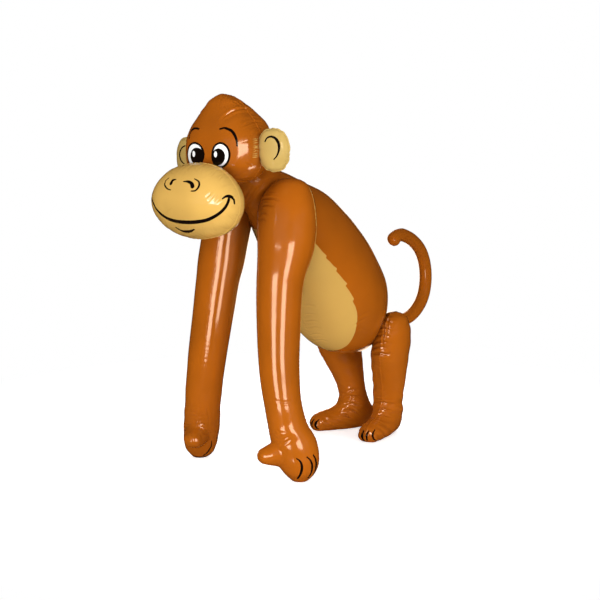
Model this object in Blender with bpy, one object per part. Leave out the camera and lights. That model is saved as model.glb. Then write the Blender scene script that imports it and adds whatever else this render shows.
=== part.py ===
"""Inflatable toy monkey standing on its hands and feet.

Every part of the body is its own welded vinyl bag, blown up tight: the torso, the head, the muzzle, two ears, two
arms, two legs and the tail. A bag is drawn flat, as its side outline, in millimetres on the 600 mm tall figure, and
swells sideways from that drawing.
"""

import bmesh
import bpy
from collections import namedtuple
from math import cos, pi, radians, sin

import numpy as np
from mathutils import Matrix, Vector

for stale in list(bpy.data.objects):
    bpy.data.objects.remove(stale, do_unlink=True)

# Size of the whole figure
FIGURE_HEIGHT = 0.600               # floor to crest, metres
DRAWN_HEIGHT = 600.0                # the height that the outlines below are drawn at, millimetres
MM = FIGURE_HEIGHT / DRAWN_HEIGHT   # metres in one drawn millimetre

GAP = 0.0003                        # clearance between two bags that touch, metres
FLOOR_BLOCK = 0.9                   # side of the block that trims hands and feet flat, metres

# Where the bags sit: X is the figure's left, minus Y is where it faces, Z is up, drawn millimetres
FORWARD = -170.0                    # these two move the whole figure so that the origin is under its middle
SIDEWAYS = -2.4
LEFT_SHOULDER = (62.5, 33.5, 418.0)
RIGHT_SHOULDER = (-58.5, 33.5, 418.0)
LEFT_ARM_POSE = (-7.6, -45.0, 0.0)  # degrees: lean sideways, turn about its length, swing forward
RIGHT_ARM_POSE = (7.7, 27.0, -2.1)
LEFT_ANKLE = (36.0, 331.0, 0.0)
LEFT_TOE_OUT = 11.0
RIGHT_ANKLE = (-36.0, 328.5, 0.0)
RIGHT_TOE_OUT = -30.0
HEAD_CENTRE = (0.0, -31.0, 516.0)
HEAD_TURN = 5.0                     # degrees, the face looks a little to its left
HEAD_TILT = -4.0                    # degrees, the crest leans a little to its right
LEFT_EAR = (86.0, 0.0, -1.5)        # middle of an ear from the middle of the head
RIGHT_EAR = (-83.5, 0.0, -11.0)
EAR_SPLAY = 14.0                    # degrees that the ears turn outward
ROUND = 2.0                         # how square a bag is seen from above: 2 is an oval
HEAD_SQUARE = 2.7                   # the head is blown up a little boxy, so its face is flatter

# Colours printed on the vinyl, linear RGB
FUR = (0.45, 0.115, 0.006, 1.0)
TAN = (0.745, 0.445, 0.105, 1.0)
GLOSS = 0.25                        # roughness of blown-up vinyl

# One station of a bag: its front edge, its back edge, its half width sideways and its drift sideways
Ring = namedtuple("Ring", "front_y front_z back_y back_z wide drift")


def ring(front_y, front_z, back_y, back_z, wide, drift=0.0):
    return Ring(front_y, front_z, back_y, back_z, wide, drift)


def pole(y, z, drift=0.0):
    return Ring(y, z, y, z, 0.0, drift)


ARM = [
    pole(8, 53.5),
    ring(-17, 48, 30, 46, 19),
    ring(-34, 33, 41, 28, 30),
    ring(-44, 12, 46, 5, 36),
    ring(-47, -15, 46.5, -20, 38),
    ring(-46.5, -52, 42.5, -55, 38),
    ring(-48.5, -105, 27, -106, 36),
    ring(-49, -178, 19.5, -179, 33),
    ring(-45.5, -253, 17, -254, 31),
    ring(-38.5, -305, 20, -300, 30),
    ring(-32.5, -340, 28.5, -333, 29.5),
    ring(-28, -362, 42, -357, 29),
    ring(-23, -380, 46, -379, 28.5),
    ring(-17, -398, 45, -397, 27),
    ring(-6, -412, 36, -414, 21),
    pole(16, -426),
]

THUMB = [
    pole(8, -380),
    ring(0, -358, 2, -401, 20),
    ring(-21, -358, -17, -402, 20),
    ring(-37, -369, -33, -400, 15),
    ring(-46.5, -379, -43, -398, 10),
    pole(-50, -389),
]

LEG = [
    pole(-24, 221, 24),
    ring(-46, 213, 1, 214, 21, 24),
    ring(-58, 195, 14.5, 197, 28, 22),
    ring(-62, 170, 21.5, 171, 31, 19.5),
    ring(-58.5, 141, 21, 138, 30.5, 15.5),
    ring(-46.5, 117, 22, 110, 29, 11.5),
    ring(-34, 93, 22.5, 89, 28, 8),
    ring(-25.5, 70, 24, 70, 27, 4.5),
    ring(-24, 54, 31, 46, 26, 2),
    ring(-31, 42, 41, 23, 24, 0),
    ring(-41, 36, 34, 7, 24, 0),
    ring(-53, 33, 8, -2, 23.5, 0),
    ring(-64, 30, -25, -4, 22.5, 0),
    ring(-73, 25, -53, -4, 20, 0),
    ring(-79, 15, -73, -1, 13, 0),
    pole(-79, 6),
]

TORSO = [
    pole(-8, 482),
    ring(-4, 453, 36, 490, 30),
    ring(22, 414, 85, 476, 45),
    ring(54, 371, 136, 454.5, 59),
    ring(77, 337, 175.5, 437.5, 69),
    ring(102, 296, 216, 407, 78),
    ring(129, 252, 252.5, 375.5, 83),
    ring(154, 216, 291.5, 330.5, 84),
    ring(177, 186, 323, 282.5, 80),
    ring(204, 166, 333.5, 233, 67),
    ring(233, 155, 329, 192, 49),
    ring(261, 149, 314, 165, 27),
    pole(290, 147),
]

HEAD = [
    pole(-10, 87),
    ring(-21, 79.5, 9, 79.5, 20),
    ring(-29, 67.5, 23.5, 69, 32),
    ring(-39.5, 50.5, 42, 53, 46),
    ring(-48, 35, 54, 38, 57),
    ring(-53, 19, 57.5, 21, 63.5),
    ring(-54.5, 0, 56.5, 0, 65.5),
    ring(-55.5, -22, 51, -24, 61),
    ring(-48, -40, 39.5, -42, 47),
    ring(-30, -51, 22.5, -50, 28),
    pole(-4, -53.5),
]

MUZZLE = [
    pole(-86, -14),
    ring(-107.5, -20, -64, -17, 34.5),
    ring(-124, -33, -49, -30, 57),
    ring(-134.5, -52, -38, -50, 73.5),
    ring(-137, -72, -33, -72, 79.5),
    ring(-130, -93, -36, -94, 74),
    ring(-115, -111, -45, -113, 58.5),
    ring(-97, -123, -61, -125, 35),
    pole(-79, -129),
]

EAR = [
    pole(0, 32),
    ring(-5, 29, 5, 29, 12),
    ring(-8, 19.5, 8, 19.5, 20.5),
    ring(-9.5, 0, 9.5, 0, 25),
    ring(-8, -19.5, 8, -19.5, 20.5),
    ring(-5, -29, 5, -29, 12),
    pole(0, -32),
]

# The tail is a thin tube, so its two edges are worked out from the line down its middle
TAIL_LINE = [
    (316, 204), (345, 199), (378, 191), (407, 185), (432, 183.5), (452, 188), (467, 196), (480.5, 208), (490, 223.5),
    (494.5, 241.5), (494.5, 262), (489.5, 282.5), (477, 304), (457, 321.5), (436, 332.5), (418, 337.5), (405, 336),
    (394.5, 329.5), (388.5, 324.5),
]
TAIL_RADIUS = 11.2
TAIL_KNOB_RADIUS = 11.5

# How finely each bag is cut into flat faces: stations along it, corners around it
ARM_MESH = (25, 20)
THUMB_MESH = (8, 12)
LEG_MESH = (25, 18)
TORSO_MESH = (25, 28)
HEAD_MESH = (20, 26)
MUZZLE_MESH = (15, 26)
EAR_MESH = (9, 20)
TAIL_MESH = (34, 10)

FINE = 24       # samples between two stations while a bag's edge is measured


def smooth_loop(points):
    """A smooth closed line: its points, the lengths between them and the tangent at each."""
    points = np.array(points, dtype=float)
    count = len(points)
    lengths = [float(np.linalg.norm(points[(i + 1) % count] - points[i])) for i in range(count)]
    tangents = []
    for i in range(count):
        before, after = lengths[i - 1], lengths[i]
        slope_before = (points[i] - points[i - 1]) / before
        slope_after = (points[(i + 1) % count] - points[i]) / after
        tangents.append((slope_before * after + slope_after * before) / (before + after))
    return points, lengths, tangents


def along_edge(edge, first, second, share, forward=True):
    """Point on the smooth line between two neighbouring points of the closed loop."""
    points, lengths, tangents = edge
    length = lengths[first] if forward else lengths[second]
    sign = 1.0 if forward else -1.0
    start, end = points[first], points[second]
    lead, trail = tangents[first] * length * sign, tangents[second] * length * sign
    s = share
    return ((2 * s ** 3 - 3 * s ** 2 + 1) * start + (s ** 3 - 2 * s ** 2 + s) * lead
            + (3 * s ** 2 - 2 * s ** 3) * end + (s ** 3 - s ** 2) * trail)


def bag_edges(rings):
    """Densely sampled front edge, back edge, width share and sideways drift of a bag."""
    last = len(rings) - 1
    loop = [(r.front_y, r.front_z) for r in rings] + [(r.back_y, r.back_z) for r in reversed(rings[1:-1])]
    edge = smooth_loop(loop)
    total = len(loop)
    ratios = []
    for r in rings:
        half = 0.5 * float(np.hypot(r.front_y - r.back_y, r.front_z - r.back_z))
        ratios.append(r.wide / half if half else None)
    ratios[0], ratios[-1] = ratios[1], ratios[-2]
    samples = []
    for i in range(last):
        for step in range(FINE + (i == last - 1)):
            share = step / FINE
            front = along_edge(edge, i, i + 1, share)
            back_first, back_second = (total - i) % total, total - i - 1
            back = along_edge(edge, back_first, back_second, share, forward=False)
            ease = share * share * (3 - 2 * share)
            ratio = ratios[i] + (ratios[i + 1] - ratios[i]) * ease
            drift = rings[i].drift + (rings[i + 1].drift - rings[i].drift) * ease
            samples.append((front, back, ratio, drift))
    return samples


def bag_mesh(name, rings, stations, around, square=ROUND):
    """Closed mesh of one bag, with evenly spaced stations and its two ends drawn together."""
    samples = bag_edges(rings)
    run = [0.0]
    for (f0, b0, _, _), (f1, b1, _, _) in zip(samples, samples[1:]):
        run.append(run[-1] + 0.5 * float(np.linalg.norm(f1 - f0) + np.linalg.norm(b1 - b0)))
    mesh_verts = []
    for station in range(1, stations):
        wanted = run[-1] * station / stations
        i = max(1, min(len(run) - 1, int(np.searchsorted(run, wanted))))
        share = (wanted - run[i - 1]) / (run[i] - run[i - 1])
        front, back, ratio, drift = [a + (b - a) * share for a, b in zip(samples[i - 1], samples[i])]
        middle, reach = (front + back) / 2, (front - back) / 2
        wide = ratio * float(np.linalg.norm(reach))
        for corner in range(around):
            turn = 2 * pi * corner / around
            swell = (abs(cos(turn)) ** square + abs(sin(turn)) ** square) ** (-1 / square)
            y, z = middle + reach * cos(turn) * swell
            mesh_verts.append((drift + wide * sin(turn) * swell, y, z))
    top = len(mesh_verts)
    mesh_verts.append((samples[0][3], *samples[0][0]))
    mesh_verts.append((samples[-1][3], *samples[-1][0]))
    faces = []
    for corner in range(around):
        beside = (corner + 1) % around
        faces.append((top, beside, corner))
        end = (stations - 2) * around
        faces.append((top + 1, end + corner, end + beside))
        for station in range(stations - 2):
            a = station * around
            b = a + around
            faces.append((a + corner, a + beside, b + beside))
            faces.append((a + corner, b + beside, b + corner))
    mesh = bpy.data.meshes.new(name)
    mesh.from_pydata([tuple(float(c) * MM for c in v) for v in mesh_verts], [], faces)
    shaped = bmesh.new()
    shaped.from_mesh(mesh)
    bmesh.ops.recalc_face_normals(shaped, faces=shaped.faces)
    shaped.to_mesh(mesh)
    shaped.free()
    return mesh


def vinyl(name, colour):
    material = bpy.data.materials.new(name)
    material.use_nodes = True
    shader = material.node_tree.nodes["Principled BSDF"]
    shader.inputs["Base Color"].default_value = colour
    shader.inputs["Roughness"].default_value = GLOSS
    return material


def place(name, mesh, location, lean=0.0, turn=0.0, swing=0.0):
    """Put a mesh on the figure: swung about its own X, leaned about its Y, then turned about Z."""
    piece = bpy.data.objects.new(name, mesh)
    x, y, z = location
    piece.location = ((x + SIDEWAYS) * MM, (y + FORWARD) * MM, z * MM)
    piece.rotation_euler = (radians(swing), radians(lean), radians(turn))
    bpy.context.scene.collection.objects.link(piece)
    return piece


def as_cutter(piece):
    piece.hide_render = True
    piece.display_type = "WIRE"
    return piece


def swollen(piece, by=GAP):
    """A hidden copy of a piece, larger all round by the clearance, for cutting its neighbours."""
    mesh = piece.data.copy()
    mesh.name = piece.name + "_room"
    normals = [v.normal.copy() for v in mesh.vertices]
    for vertex, normal in zip(mesh.vertices, normals):
        vertex.co += normal * by
    copy = bpy.data.objects.new(piece.name + "_room", mesh)
    copy.location = piece.location
    copy.rotation_euler = piece.rotation_euler
    bpy.context.scene.collection.objects.link(copy)
    return as_cutter(copy)


def combine(piece, other, operation):
    step = piece.modifiers.new(operation.lower() + "_" + other.name, "BOOLEAN")
    step.operation = operation
    step.object = other
    step.solver = "EXACT"


def mirrored(rings_mesh, name):
    mesh = rings_mesh.copy()
    mesh.name = name
    for vertex in mesh.vertices:
        vertex.co.x = -vertex.co.x
    mesh.flip_normals()
    return mesh


# The floor trims the hands and soles flat
floor_mesh = bpy.data.meshes.new("floor_trim")
block = bmesh.new()
bmesh.ops.create_cube(block, size=FLOOR_BLOCK)
block.to_mesh(floor_mesh)
block.free()
floor_trim = bpy.data.objects.new("floor_trim", floor_mesh)
floor_trim.location = (0.0, 0.0, -FLOOR_BLOCK / 2)
bpy.context.scene.collection.objects.link(floor_trim)
as_cutter(floor_trim)

# Arms, each with its thumb swelling out of the same bag
arm_mesh = bag_mesh("arm_left", ARM, *ARM_MESH)
thumb_mesh = bag_mesh("thumb_left", THUMB, *THUMB_MESH)
arm_left = place("arm_left", arm_mesh, LEFT_SHOULDER, *LEFT_ARM_POSE)
arm_right = place("arm_right", mirrored(arm_mesh, "arm_right"), RIGHT_SHOULDER, *RIGHT_ARM_POSE)
arm_left_room = swollen(arm_left)
arm_right_room = swollen(arm_right)
thumb_left = as_cutter(place("thumb_left", thumb_mesh, LEFT_SHOULDER, *LEFT_ARM_POSE))
thumb_right_mesh = mirrored(thumb_mesh, "thumb_right")
thumb_right = as_cutter(place("thumb_right", thumb_right_mesh, RIGHT_SHOULDER, *RIGHT_ARM_POSE))
for arm, thumb in ((arm_left, thumb_left), (arm_right, thumb_right)):
    combine(arm, thumb, "UNION")
    combine(arm, floor_trim, "DIFFERENCE")

# Legs, the same bag twice, turned out by different amounts
leg_mesh = bag_mesh("leg_left", LEG, *LEG_MESH)
leg_left = place("leg_left", leg_mesh, LEFT_ANKLE, turn=LEFT_TOE_OUT)
leg_right = place("leg_right", mirrored(leg_mesh, "leg_right"), RIGHT_ANKLE, turn=RIGHT_TOE_OUT)
leg_left_room = swollen(leg_left)
leg_right_room = swollen(leg_right)
for leg in (leg_left, leg_right):
    combine(leg, floor_trim, "DIFFERENCE")

# Head and the bags welded to it
head = place("head", bag_mesh("head", HEAD, *HEAD_MESH, HEAD_SQUARE), HEAD_CENTRE, HEAD_TILT, HEAD_TURN)
head_room = swollen(head)
muzzle = place("muzzle", bag_mesh("muzzle", MUZZLE, *MUZZLE_MESH), HEAD_CENTRE, HEAD_TILT, HEAD_TURN)
combine(muzzle, head_room, "DIFFERENCE")
ear_mesh = bag_mesh("ear_left", EAR, *EAR_MESH)
head_frame = Matrix.Rotation(radians(HEAD_TURN), 4, "Z") @ Matrix.Rotation(radians(HEAD_TILT), 4, "Y")
for name, centre, splay in (("ear_left", LEFT_EAR, EAR_SPLAY), ("ear_right", RIGHT_EAR, -EAR_SPLAY)):
    spot = Vector(HEAD_CENTRE) + head_frame @ Vector(centre)
    mesh = ear_mesh if name == "ear_left" else mirrored(ear_mesh, name)
    ear = place(name, mesh, spot, HEAD_TILT, HEAD_TURN + splay)
    combine(ear, head_room, "DIFFERENCE")

# Torso, dented by everything that is welded to it
torso = place("torso", bag_mesh("torso", TORSO, *TORSO_MESH), (0.0, 0.0, 0.0))
torso_room = swollen(torso)
for neighbour in (arm_left_room, arm_right_room, leg_left_room, leg_right_room, head_room):
    combine(torso, neighbour, "DIFFERENCE")

# Tail, welded to the rump
line = np.array(TAIL_LINE, dtype=float)
tail_rings = [pole(*line[0])]
for i in range(1, len(line) - 1):
    ahead = line[i + 1] - line[i - 1]
    ahead /= np.linalg.norm(ahead)
    radius = TAIL_RADIUS if i < len(line) - 3 else TAIL_KNOB_RADIUS
    inner = line[i] + radius * np.array((-ahead[1], ahead[0]))
    outer = line[i] - radius * np.array((-ahead[1], ahead[0]))
    tail_rings.append(ring(inner[0], inner[1], outer[0], outer[1], radius))
tail_rings.append(pole(*line[-1]))
tail = place("tail", bag_mesh("tail", tail_rings, *TAIL_MESH), (0.0, 0.0, 0.0))
combine(tail, torso_room, "DIFFERENCE")

# Printed colours
fur = vinyl("fur_vinyl", FUR)
tan = vinyl("tan_vinyl", TAN)
for piece in list(bpy.data.objects):
    if piece.hide_render:
        continue
    piece.data.materials.clear()
    piece.data.materials.append(tan if piece.name in ("muzzle", "ear_left", "ear_right") else fur)
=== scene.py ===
"""The look of the inflatable toy monkey: welded vinyl bags, blown up tight and printed in three colours.

Each bag has its side outline from the CAD part, in millimetres on the 600 mm tall figure, apart from the thumbs'
blunter ends. It is cut far finer here, with weld seams, the puckers along them, folds and print.
"""

from collections import namedtuple
from math import cos, pi, radians, sin

import bpy
import numpy as np
from mathutils import Matrix, Vector
from mathutils.bvhtree import BVHTree


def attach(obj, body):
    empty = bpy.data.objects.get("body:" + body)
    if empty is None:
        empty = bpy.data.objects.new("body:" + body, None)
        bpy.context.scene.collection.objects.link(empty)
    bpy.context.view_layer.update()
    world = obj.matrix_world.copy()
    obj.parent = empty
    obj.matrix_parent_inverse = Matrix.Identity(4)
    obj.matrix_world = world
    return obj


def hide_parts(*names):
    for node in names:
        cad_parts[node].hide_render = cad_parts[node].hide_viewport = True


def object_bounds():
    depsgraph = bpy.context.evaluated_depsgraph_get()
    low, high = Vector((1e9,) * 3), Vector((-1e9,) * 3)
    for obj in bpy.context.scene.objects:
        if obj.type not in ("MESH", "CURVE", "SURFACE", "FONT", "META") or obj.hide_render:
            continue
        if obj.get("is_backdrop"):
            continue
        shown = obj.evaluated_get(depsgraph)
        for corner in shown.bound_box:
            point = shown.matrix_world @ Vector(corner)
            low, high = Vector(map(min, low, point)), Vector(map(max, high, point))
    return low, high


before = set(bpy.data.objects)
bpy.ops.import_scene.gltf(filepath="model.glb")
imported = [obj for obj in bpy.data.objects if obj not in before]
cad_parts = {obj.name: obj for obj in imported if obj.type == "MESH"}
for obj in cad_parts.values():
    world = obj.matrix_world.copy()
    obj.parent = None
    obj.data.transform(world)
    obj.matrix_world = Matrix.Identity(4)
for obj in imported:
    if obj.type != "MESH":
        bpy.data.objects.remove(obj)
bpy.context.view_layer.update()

MM = 0.001  # metres in a millimetre

# Where the bags sit: X is the figure's left, minus Y is where it faces, Z is up
FORWARD = -170.0
SIDEWAYS = -2.4
LEFT_SHOULDER = (62.5, 33.5, 418.0)
RIGHT_SHOULDER = (-58.5, 33.5, 418.0)
LEFT_ARM_POSE = (-7.6, -45.0, 0.0)
RIGHT_ARM_POSE = (7.7, 27.0, -2.1)
LEFT_ANKLE = (36.0, 331.0, 0.0)
LEFT_TOE_OUT = 11.0
RIGHT_ANKLE = (-36.0, 328.5, 0.0)
RIGHT_TOE_OUT = -30.0
HEAD_CENTRE = (0.0, -31.0, 516.0)
HEAD_TURN = 5.0
HEAD_TILT = -4.0
LEFT_EAR = (86.0, 0.0, -1.5)
RIGHT_EAR = (-83.5, 0.0, -11.0)
EAR_SPLAY = 14.0

# One station of a bag: its front edge, its back edge, its half width sideways and its drift sideways
Ring = namedtuple("Ring", "front_y front_z back_y back_z wide drift", defaults=(0.0,))


def pole(y, z, drift=0.0):
    return Ring(y, z, y, z, 0.0, drift)


def stations(*rows):
    """The rings of a bag. A row of two or three numbers is an end, where the bag closes."""
    return [pole(*row) if len(row) < 4 else Ring(*row) for row in rows]


ARM = stations(
    (8, 53.5), (-17, 48, 30, 46, 19), (-34, 33, 41, 28, 30), (-44, 12, 46, 5, 36), (-47, -15, 46.5, -20, 38),
    (-46.5, -52, 42.5, -55, 38), (-48.5, -105, 27, -106, 36), (-49, -178, 19.5, -179, 33), (-45.5, -253, 17, -254, 31),
    (-38.5, -305, 20, -300, 30), (-32.5, -340, 28.5, -333, 29.5), (-28, -362, 42, -357, 29),
    (-23, -380, 46, -379, 28.5), (-17, -398, 45, -397, 27), (-6, -412, 36, -414, 21), (16, -426))
THUMB = stations(
    (8, -380), (0, -358, 2, -399, 20), (-21, -358, -18, -397, 20), (-37, -366, -34, -396, 16),
    (-46.5, -371, -43.5, -393, 12.5), (-51, -382))
LEG = stations(
    (-24, 221, 24), (-46, 213, 1, 214, 21, 24), (-58, 195, 14.5, 197, 28, 22), (-62, 170, 21.5, 171, 31, 19.5),
    (-58.5, 141, 21, 138, 30.5, 15.5), (-46.5, 117, 22, 110, 29, 11.5), (-34, 93, 22.5, 89, 28, 8),
    (-25.5, 70, 24, 70, 27, 4.5), (-24, 54, 31, 46, 26, 2), (-31, 42, 41, 23, 24, 0), (-41, 36, 34, 7, 24, 0),
    (-53, 33, 8, -2, 23.5, 0), (-64, 30, -25, -4, 22.5, 0), (-73, 25, -53, -4, 20, 0), (-79, 15, -73, -1, 13, 0),
    (-79, 6))
TORSO = stations(
    (-8, 482), (-4, 453, 36, 490, 30), (22, 414, 85, 476, 45), (54, 371, 136, 454.5, 59), (77, 337, 175.5, 437.5, 69),
    (102, 296, 216, 407, 78), (129, 252, 252.5, 375.5, 83), (154, 216, 291.5, 330.5, 84), (177, 186, 323, 282.5, 80),
    (204, 166, 333.5, 233, 67), (233, 155, 329, 192, 49), (261, 149, 314, 165, 27), (290, 147))
HEAD = stations(
    (-10, 87), (-21, 79.5, 9, 79.5, 20), (-29, 67.5, 23.5, 69, 32), (-39.5, 50.5, 42, 53, 46), (-48, 35, 54, 38, 57),
    (-53, 19, 57.5, 21, 63.5), (-54.5, 0, 56.5, 0, 65.5), (-55.5, -22, 51, -24, 61), (-48, -40, 39.5, -42, 47),
    (-30, -51, 22.5, -50, 28), (-4, -53.5))
MUZZLE = stations(
    (-86, -14), (-107.5, -20, -64, -17, 34.5), (-124, -33, -49, -30, 57), (-134.5, -52, -38, -50, 73.5),
    (-137, -72, -33, -72, 79.5), (-130, -93, -36, -94, 74), (-115, -111, -45, -113, 58.5), (-97, -123, -61, -125, 35),
    (-79, -129))
EAR = stations(
    (0, 32), (-5, 29, 5, 29, 12), (-8, 19.5, 8, 19.5, 20.5), (-9.5, 0, 9.5, 0, 25), (-8, -19.5, 8, -19.5, 20.5),
    (-5, -29, 5, -29, 12), (0, -32))
TAIL_LINE = [
    (316, 204), (345, 199), (378, 191), (407, 185), (432, 183.5), (452, 188), (467, 196), (480.5, 208), (490, 223.5),
    (494.5, 241.5), (494.5, 262), (489.5, 282.5), (477, 304), (457, 321.5), (436, 332.5), (418, 337.5), (405, 336),
    (394.5, 329.5), (388.5, 324.5),
]
TAIL_RADIUS = 11.2
TAIL_KNOB_RADIUS = 11.5

FRONT_SEAM = 0.0  # the weld runs down the front and up the back of a bag
SIDE_SEAM = pi / 2  # the weld runs down both sides of a bag
CROWD = 0.5  # how much closer mesh lines lie to a weld than between welds
WELD_RISE = 0.8  # height of the weld's ridge, millimetres
WELD_SPREAD = 1.1  # its half width


def smooth_loop(points):
    """A smooth closed line through the points: the points, the distances between them and the tangents."""
    points = np.array(points, dtype=float)
    after = np.roll(points, -1, axis=0) - points
    lengths = np.linalg.norm(after, axis=1)
    slopes = after / lengths[:, None]
    before_slopes, before = np.roll(slopes, 1, axis=0), np.roll(lengths, 1)
    tangents = (before_slopes * lengths[:, None] + slopes * before[:, None]) / (before + lengths)[:, None]
    return points, lengths, tangents


def along_edge(edge, first, second, s, forward):
    points, lengths, tangents = edge
    length = lengths[first] if forward else -lengths[second]
    lead, trail = tangents[first] * length, tangents[second] * length
    s = s[:, None]
    return ((2 * s ** 3 - 3 * s ** 2 + 1) * points[first] + (s ** 3 - 2 * s ** 2 + s) * lead
            + (3 * s ** 2 - 2 * s ** 3) * points[second] + (s ** 3 - s ** 2) * trail)


def bag_edges(rings, fine=48):
    """Densely sampled front edge, back edge, width share and sideways drift of a bag, in one array."""
    last = len(rings) - 1
    edge = smooth_loop([r[:2] for r in rings] + [r[2:4] for r in reversed(rings[1:-1])])
    total = len(edge[0])
    ratios = [2 * r.wide / max(np.hypot(r.front_y - r.back_y, r.front_z - r.back_z), 1e-9) for r in rings]
    ratios[0], ratios[-1] = ratios[1], ratios[-2]
    parts = []
    for i in range(last):
        s = np.arange(fine + (i == last - 1)) / fine
        ease = s * s * (3 - 2 * s)
        front = along_edge(edge, i, i + 1, s, True)
        back = along_edge(edge, (total - i) % total, total - i - 1, s, False)
        ratio = ratios[i] + (ratios[i + 1] - ratios[i]) * ease
        drift = rings[i].drift + (rings[i + 1].drift - rings[i].drift) * ease
        parts.append(np.column_stack([front, back, ratio, drift]))
    return np.concatenate(parts)


class Bag:
    """The grid of one bag: rows from pole to pole, columns round it, with its own coordinates in millimetres."""

    def __init__(self, name, rings, step, around, seam, square=2.0):
        self.name = name
        self.seam = seam
        samples = bag_edges(rings)
        hops = np.linalg.norm(np.diff(samples[:, :2], axis=0), axis=1)
        hops = (hops + np.linalg.norm(np.diff(samples[:, 2:4], axis=0), axis=1)) / 2
        run = np.concatenate([[0.0], np.cumsum(hops)])
        rows = int(run[-1] / step)
        self.along = np.linspace(0.0, run[-1], rows + 1)
        front_y, front_z, back_y, back_z, ratio, drift = (np.interp(self.along, run, c) for c in samples.T)
        theta = 2 * pi * np.arange(around) / around
        turn = theta - CROWD / 2 * np.sin(2 * (theta - seam))
        self.turn = turn
        reach = np.stack([front_y - back_y, front_z - back_z], 1) / 2
        middle = np.stack([front_y + back_y, front_z + back_z], 1) / 2
        wide = ratio * np.linalg.norm(reach, axis=1)
        swell = (np.abs(np.cos(turn)) ** square + np.abs(np.sin(turn)) ** square) ** (-1 / square)
        x = drift[:, None] + wide[:, None] * (swell * np.sin(turn))
        y = middle[:, :1] + reach[:, :1] * (swell * np.cos(turn))
        z = middle[:, 1:] + reach[:, 1:] * (swell * np.cos(turn))
        self.points = np.stack([x, y, z], -1)
        self.middle = np.column_stack([drift, middle])

    def normals(self):
        p = self.points
        down = np.gradient(p, axis=0)
        beside = np.roll(p, -1, axis=1) - np.roll(p, 1, axis=1)
        n = np.cross(down, beside)
        n[0] = n[1].mean(0)
        n[-1] = n[-2].mean(0)
        n /= np.maximum(np.linalg.norm(n, axis=-1, keepdims=True), 1e-9)
        outward = np.sum(n * (p - self.middle[:, None]))
        return n if outward > 0 else -n

    def across(self, line):
        """Signed distance round the bag from one of its two weld lines."""
        p = self.points
        hops = np.linalg.norm(np.roll(p, -1, axis=1) - p, axis=-1)
        whole = hops.sum(1, keepdims=True)
        place = np.cumsum(hops, axis=1) - hops
        columns = p.shape[1]
        column = (round(self.seam / (2 * pi) * columns) + line * columns // 2) % columns
        away = place - place[:, column:column + 1]
        return away - whole * np.round(away / np.maximum(whole, 1e-9))

    def push(self, height):
        self.points = self.points + self.normals() * height[..., None]

    def surface(self):
        """The grid as vertices and faces, each end drawn into one vertex."""
        p = self.points
        rows, columns = p.shape[0] - 1, p.shape[1]
        verts = np.concatenate([p[1:-1].reshape(-1, 3), p[:1].mean(1), p[-1:].mean(1)])
        a = (np.arange(rows - 2)[:, None] * columns + np.arange(columns)).ravel()
        b = (np.arange(rows - 2)[:, None] * columns + (np.arange(columns) + 1) % columns).ravel()
        quads = np.stack([a, b, b + columns, a + columns], 1).tolist()
        first, last = len(verts) - 2, len(verts) - 1
        end = (rows - 2) * columns
        beside = [(c + 1) % columns for c in range(columns)]
        fans = [(first, beside[c], c) for c in range(columns)]
        fans += [(last, end + c, end + beside[c]) for c in range(columns)]
        mid = len(p) // 2
        outward = self.normals()[mid, 0] @ np.cross(p[mid, 1] - p[mid, 0], p[mid + 1, 0] - p[mid, 0])
        faces = quads + fans
        if outward < 0:
            faces = [tuple(reversed(f)) for f in faces]
        return verts, faces


def smoothstep(x, low, high):
    t = np.clip((x - low) / (high - low), 0, 1)
    return t * t * (3 - 2 * t)


# A run of puckers along a weld: where it starts and ends, how far apart, how deep and how long the puckers are
Gather = namedtuple("Gather", "line start end spacing depth reach")


def gathers(bag, runs, seed):
    """Puckers across the welds of a long bag. They are sharpest at the weld and die away on either side."""
    height = np.zeros(bag.points.shape[:2])
    dice = np.random.default_rng(seed)
    for run in runs:
        off = bag.across(run.line)
        count = max(1, int((run.end - run.start) / run.spacing))
        inside = smoothstep(bag.along, run.start - 6, run.start + 8)
        inside *= 1 - smoothstep(bag.along, run.end - 8, run.end + 6)
        for i in range(count):
            centre = run.start + (i + 0.5 + dice.uniform(-0.38, 0.38)) * run.spacing
            depth = run.depth * dice.uniform(0.25, 1.25)
            width = run.spacing * dice.uniform(0.16, 0.3)
            lean_left, lean_right = dice.normal(0, 0.16, 2)
            reach_left, reach_right = run.reach * dice.uniform(0.45, 1.5, 2)
            near = np.abs(bag.along - centre) < 5 * width + 0.4 * run.reach * 1.5
            part = off[near]
            lean = np.where(part < 0, lean_left, lean_right)
            reach = np.where(part < 0, reach_left, reach_right)
            shift = (bag.along[near][:, None] - centre - lean * np.abs(part)) / width
            fade = np.exp(-(np.abs(part) / reach) ** 1.6)
            height[near] -= depth * fade * inside[near][:, None] * np.exp(-np.abs(shift) ** 1.4)
        height += 0.3 * run.depth * inside[:, None] * np.exp(-(off / run.reach) ** 2)
    return height


def weld(bag, rise=WELD_RISE, spread=WELD_SPREAD):
    """The raised line where the two sheets of a bag are welded together."""
    ends = smoothstep(bag.along, 0, 12) * (1 - smoothstep(bag.along, bag.along[-1] - 12, bag.along[-1]))
    height = np.zeros(bag.points.shape[:2])
    for line in (0, 1):
        height += rise * np.exp(-(bag.across(line) / spread) ** 2) * ends[:, None]
    return height


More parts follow.
